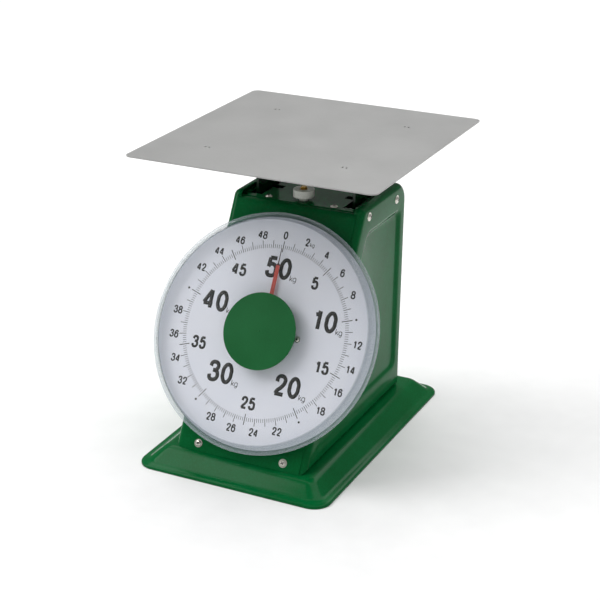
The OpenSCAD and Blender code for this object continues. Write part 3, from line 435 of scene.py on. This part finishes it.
# ---- Dial ----------------------------------------------------------------------------------
# White enamelled disc on spacers, its scale printed in black: fifty kilograms to one turn.
# Satin white enamel is faintly blue and has next to no texture.
white = finish("white_satin_enamel", "#eef1fb", "#f2f4fc", (0.32, 0.4), 0.003, bump=0.000003)
dress(white, "dial_plate")
dial_face, print_half = 0.0097, 0.00004
full_load, divisions = 50, 250
small_reach, middling_reach, dot_reach, dot_radius = 0.1245, 0.0895, 0.122, 0.0014
# The large figures stand on a slightly flattened circle, set a little above the dial's middle
large_x, large_y, large_rise = 0.079, 0.0785, 0.0045
# Height, width and stroke of each size of figure, and of each size of unit
small, middling, large = (0.0102, 0.0058, 0.0018), (0.0162, 0.0092, 0.0031), (0.0275, 0.0162, 0.0050)
small_unit, large_unit = (0.0042, 0.0028, 0.0006), (0.0062, 0.0042, 0.0008)


def toward(load):
    """X and y on the dial of the direction of a load."""
    angle = math.tau * load / full_load
    return Vector((math.sin(angle), math.cos(angle)))


# Printing ink is matt and a little brown
black_print = finish("black_printing_ink", "#26241f", "#3a3833", (0.45, 0.55), 0.0015, bump=0.000002)
marks = bmesh.new()
for step in range(divisions):
    inner, outer, width = 0.1072, 0.1120, 0.00050
    if step % 5 == 0:
        outer, width = 0.1170, 0.00070
    if step % 25 == 0:
        inner, width = 0.1030, 0.00095
    bar = bmesh.ops.create_cube(marks, size=1)["verts"]
    bmesh.ops.scale(marks, vec=(width, outer - inner, 2 * print_half), verts=bar)
    bmesh.ops.translate(marks, vec=(0, (inner + outer) / 2, dial_face + print_half), verts=bar)
    bmesh.ops.rotate(marks, cent=(0, 0, 0), verts=bar,
                     matrix=Matrix.Rotation(-math.tau * step / divisions, 3, "Z"))
for load in (10, 20, 30, 40):
    dot = bmesh.ops.create_cone(marks, cap_ends=True, segments=16, radius1=dot_radius,
                                radius2=dot_radius, depth=2 * print_half)["verts"]
    bmesh.ops.translate(marks, vec=(*toward(load) * dot_reach, dial_face + print_half), verts=dot)


# The points that the middle of each stroke passes through, in the figure's own width and height
strokes = {
    "0": [[(0.5, 1), (0.06, 0.78), (0, 0.5), (0.06, 0.22), (0.5, 0), (0.94, 0.22), (1, 0.5),
           (0.94, 0.78), (0.5, 1)]],
    "1": [[(0.72, 0), (0.72, 1)], [(0.7, 1), (0.58, 0.84), (0.25, 0.78)]],
    "2": [[(0.03, 0.66), (0.1, 0.9), (0.5, 1), (0.9, 0.9), (0.95, 0.66), (0.66, 0.4), (0.2, 0.16),
           (0.06, 0)], [(0, 0), (1, 0)]],
    "3": [[(0.02, 0.74), (0.14, 0.94), (0.5, 1), (0.86, 0.92), (0.9, 0.68), (0.7, 0.55), (0.36, 0.54)],
          [(0.36, 0.54), (0.72, 0.53), (0.98, 0.38), (0.94, 0.12), (0.5, 0), (0.1, 0.07), (0, 0.28)]],
    "4": [[(0.68, 1), (-0.1, 0.27)], [(-0.12, 0.25), (1, 0.25)], [(0.74, 0), (0.74, 1)]],
    "5": [[(0.12, 1), (0.92, 1)], [(0.15, 1), (0.07, 0.48)],
          [(0.07, 0.5), (0.24, 0.62), (0.52, 0.66), (0.9, 0.55), (1, 0.33), (0.9, 0.08), (0.48, 0),
           (0.1, 0.07), (0, 0.26)]],
    "6": [[(0.97, 0.76), (0.84, 0.95), (0.52, 1), (0.12, 0.84), (0, 0.48), (0.08, 0.12), (0.5, 0),
           (0.92, 0.1), (1, 0.33), (0.9, 0.55), (0.54, 0.64), (0.16, 0.55), (0.03, 0.38)]],
    "8": [[(0.5, 1), (0.14, 0.93), (0.1, 0.67), (0.5, 0.55), (0.9, 0.67), (0.86, 0.93), (0.5, 1)],
          [(0.5, 0.55), (0.08, 0.44), (0.04, 0.1), (0.5, 0), (0.96, 0.1), (0.92, 0.44), (0.5, 0.55)]],
    "k": [[(0, 1.3), (0, 0)], [(0.9, 0.85), (0, 0.28)], [(0.3, 0.45), (1, 0)]],
    "g": [[(0.5, 0.88), (0.02, 0.72), (0.02, 0.16), (0.5, 0), (0.96, 0.16), (0.96, 0.72), (0.5, 0.88)],
          [(1, 0.9), (1, -0.08), (0.72, -0.34), (0.06, -0.26)]]}


def figure(word, height, width, stroke, x, y):
    """Prints a word, each sign this high and wide, centred at x and y on the dial."""
    pitch = width + stroke * 0.45
    curve = bpy.data.curves.new("figure", "CURVE")
    curve.dimensions, curve.resolution_u = "3D", 6
    curve.bevel_depth, curve.bevel_resolution, curve.use_fill_caps = stroke / 2, 0, True
    for place, letter in enumerate(word):
        left = x + (place - len(word) / 2) * pitch + (pitch - width) / 2 + stroke / 2
        for points in strokes[letter]:
            line = curve.splines.new("BEZIER")
            line.use_cyclic_u = points[0] == points[-1]
            points = points[:-1] if line.use_cyclic_u else points
            line.bezier_points.add(len(points) - 1)
            for knot, (along, high) in zip(line.bezier_points, points):
                knot.co = (left + along * (width - stroke), y + (high - 0.5) * (height - stroke), 0)
                knot.handle_left_type = knot.handle_right_type = "AUTO" if len(points) > 2 else "VECTOR"
    drawn = linked("figure", curve)
    mesh = bpy.data.meshes.new_from_object(drawn.evaluated_get(bpy.context.evaluated_depsgraph_get()))
    bpy.data.objects.remove(drawn)
    flatten = Matrix.Diagonal((1, 1, 2 * print_half / stroke, 1))
    mesh.transform(Matrix.Translation((0, 0, dial_face + print_half)) @ flatten)
    marks.from_mesh(mesh)
    bpy.data.meshes.remove(mesh)


for load in range(0, full_load, 2):
    if load % 10 or load == 0:
        figure(str(load), *small, *toward(load) * small_reach)
for load in range(5, full_load, 10):
    figure(str(load), *middling, *toward(load) * middling_reach)
for load in range(10, full_load + 10, 10):
    x, y = toward(load)
    x, y = large_x * x, large_rise + large_y * y
    figure(str(load), *large, x, y)
    figure("kg", *large_unit, x + 0.0222, y - 0.0110)
x, y = toward(2) * small_reach
figure("kg", *small_unit, x + 0.0068, y - 0.003)
marks.transform(on_dial)
piece("dial_print", marks, black_print, "case", "white_enamel", smooth=False)

# ---- Pointer -------------------------------------------------------------------------------
# Blade of painted aluminium: red where it is wide, dark along its thin tip.
# A black hub holds it on the pinion's shaft, and a short tail balances it.
material, place = blank("red_pointer_paint")
centred = add(material, "Mapping", {"Vector": place, "Location": [-v for v in turn["pos_m"]]})
reach = add(material, "VectorMath", {0: centred.outputs[0]}, operation="LENGTH")
red_reach, dark_reach = 0.0860, 0.0875
tip = add(material, "MapRange", {
    "Value": reach.outputs["Value"], "From Min": red_reach, "From Max": dark_reach})
speck = add(material, "TexNoise", {"Vector": place, "Scale": 600.0, "Detail": 2.0})
red = add(material, "MixRGB", {
    "Fac": speck.outputs["Fac"], "Color1": linear("#c2463c"), "Color2": linear("#cf5a4c")})
painted = add(material, "MixRGB", {
    "Fac": tip.outputs[0], "Color1": red.outputs[0], "Color2": linear("#3a2420")})
satin = add(material, "MapRange", {"Value": speck.outputs["Fac"], "To Min": 0.35, "To Max": 0.5})
close(material, add(material, "BsdfPrincipled", {
    "Base Color": painted.outputs[0], "Roughness": satin.outputs[0]}))
levels = [(on_dial.inverted() @ v.co).z for v in frame["nodes"]["pointer"].data.vertices]
blade = bmesh.new()
edge = blade.faces.new([blade.verts.new((x, y, min(levels))) for x, y in (
    (-0.0032, -0.018), (0.0032, -0.018), (0.0024, 0.0865), (0.00055, 0.0885), (0.0003, 0.1075),
    (-0.0003, 0.1075), (-0.00055, 0.0885), (-0.0024, 0.0865))])
grown = bmesh.ops.extrude_face_region(blade, geom=[edge])["geom"]
bmesh.ops.translate(blade, vec=(0, 0, max(levels) - min(levels)),
                    verts=[part for part in grown if isinstance(part, bmesh.types.BMVert)])
bmesh.ops.recalc_face_normals(blade, faces=blade.faces)
bmesh.ops.transform(blade, matrix=on_dial, verts=blade.verts)
piece("pointer_blade", blade, material, "pointer", "red_paint", "pointer")

# ---- Clear cover and centre disc -----------------------------------------------------------
# Moulded acrylic window whose skirt clips over the dial's housing; a green plastic disc at its
# middle. The flat window is nearly clear; the sloping wall has a painted blue-grey reflection,
# and the flange a paler painted highlight.
material, place = blank("clear_acrylic_with_painted_reflection")
centred = add(material, "Mapping", {"Vector": place, "Location": [-v for v in turn["pos_m"]]})
reach = add(material, "VectorMath", {0: centred.outputs[0]}, operation="LENGTH")
flat_reach, wall_reach, foot_reach, brim_reach = 0.1424, 0.1436, 0.1450, 0.1500
# The sloping wall is made part opaque, so that its painted blue-grey reflection shows
wall = add(material, "MapRange", {
    "Value": reach.outputs["Value"], "From Min": flat_reach, "From Max": wall_reach,
    "To Min": 0.03, "To Max": 0.34})
brim = add(material, "MapRange", {
    "Value": reach.outputs["Value"], "From Min": foot_reach, "From Max": brim_reach})
haze = add(material, "TexNoise", {"Vector": place, "Scale": 60.0, "Detail": 2.0})
gloss = add(material, "MapRange", {"Value": haze.outputs["Fac"], "To Min": 0.03, "To Max": 0.08})
# Blue-grey on the wall, paler towards the flange's edge: painted reflection and painted highlight
painted_reflection_tint = add(material, "MixRGB", {
    "Fac": brim.outputs[0], "Color1": linear("#74868f"), "Color2": linear("#c3d0d6")})
close(material, add(material, "BsdfPrincipled", {
    "Base Color": painted_reflection_tint.outputs[0], "Roughness": gloss.outputs[0], "Alpha": wall.outputs[0], "IOR": 1.49}))
# Radius and height of each turn of the section, from the window's middle round to its inner face
window, window_height, flange, flange_height, skirt = 0.1410, 0.0240, 0.1525, 0.0107, 0.1465
section = [
    (0.0002, window_height), (window - 0.0008, window_height), (window + 0.0008, window_height - 0.0003),
    (window + 0.0022, window_height - 0.0010), (window + 0.0034, window_height - 0.0021),
    (window + 0.0041, window_height - 0.0034), (window + 0.0047, window_height - 0.0052),
    (flange - 0.0050, flange_height + 0.0034), (flange - 0.0044, flange_height + 0.0026),
    (flange - 0.0036, flange_height + 0.0021), (flange - 0.0006, flange_height + 0.0020),
    (flange - 0.0001, flange_height + 0.0015), (flange, flange_height + 0.0010),
    (flange - 0.0001, flange_height + 0.0004), (flange - 0.0006, flange_height),
    (skirt + 0.0032, flange_height), (skirt + 0.0030, flange_height - 0.0045),
    (skirt + 0.0010, flange_height - 0.0045), (skirt + 0.0010, flange_height - 0.0007),
    (skirt - 0.0003, flange_height - 0.0007), (skirt - 0.0003, flange_height + 0.0020),
    (window + 0.0027, window_height - 0.0054), (window + 0.0018, window_height - 0.0034),
    (window - 0.0006, window_height - 0.0020), (0.0002, window_height - 0.0020)]
cover = bmesh.new()
turns = [cover.verts.new((r, 0, h)) for r, h in section]
lines = [cover.edges.new((a, b)) for a, b in zip(turns, turns[1:])]
bmesh.ops.spin(cover, geom=turns + lines, cent=(0, 0, 0), axis=(0, 0, 1), angle=math.tau, steps=180,
               use_merge=True)
bmesh.ops.remove_doubles(cover, verts=cover.verts, dist=0.00001)
bmesh.ops.holes_fill(cover, edges=[e for e in cover.edges if e.is_boundary], sides=0)
bmesh.ops.recalc_face_normals(cover, faces=cover.faces)
bmesh.ops.transform(cover, matrix=on_dial, verts=cover.verts)
piece("cover_glazing", cover, material, "case", "clear_plastic", "clear_cover")
# Moulded green plastic has a soft gloss
disc_green = finish("green_moulded_plastic", "#0b5d2b", "#0f6733", (0.34, 0.42), 0.0012, bump=0.000004,
                    specular_ior_level=0.25)
dress(disc_green, "centre_disc")
# A small pip at the middle of the disc
disc_thickness, pip_radius = 0.0016, 0.0011
pip = bmesh.new()
bmesh.ops.create_uvsphere(pip, u_segments=20, v_segments=10, radius=pip_radius)
bmesh.ops.scale(pip, vec=(1, 1, 0.4), verts=pip.verts)
bmesh.ops.translate(pip, vec=(0, 0, window_height + disc_thickness), verts=pip.verts)
bmesh.ops.transform(pip, matrix=on_dial, verts=pip.verts)
piece("disc_pip", pip, disc_green, "case", "green_plastic")

# ---- Zero knob -----------------------------------------------------------------------------
# Ivory plastic knob on the brass zero screw, behind the top edge of the dial.
# The plastic has gone greyish, with a soft gloss.
ivory = finish("ivory_moulded_plastic", "#cfd2c8", "#dfe1d8", (0.32, 0.42), 0.001, bump=0.000006)
dress(ivory, "zero_knob")

# ---- Studio --------------------------------------------------------------------------------
# Pale matt floor without a join. A small lamp stands at the front left, and a wide one hangs
# above and behind the scale.
floor = bmesh.new()
bmesh.ops.create_grid(floor, x_segments=1, y_segments=1, size=30)
mesh = bpy.data.meshes.new("floor")
floor.to_mesh(mesh)
floor.free()
mesh.materials.append(finish("pale_studio_floor", "#f2f2f2", "#f6f6f6", (0.7, 0.8), 0.05))
ground = linked("floor", mesh)

world = bpy.data.worlds.new("studio")
bpy.context.scene.world = world
world.use_nodes = True
world.node_tree.nodes["Background"].inputs["Color"].default_value = (1, 1, 1, 1)
world.node_tree.nodes["Background"].inputs["Strength"].default_value = 0.3
bpy.context.scene.view_settings.view_transform = "Standard"


def soft_box(name, place, aim, size, power):
    """A square area light at place that shines towards aim."""
    light = bpy.data.lights.new(name, "AREA")
    light.size, light.energy = size, power
    obj = linked(name, light)
    obj.location = place
    obj.rotation_euler = (Vector(aim) - Vector(place)).to_track_quat("-Z", "Y").to_euler()


soft_box("key_light", (-1.9, -1.0, 2.1), (0, 0, 0.2), 1.8, 44)
soft_box("top_light", (0.0, 2.6, 4.0), (0, 2.6, 0.0), 6.6, 280)
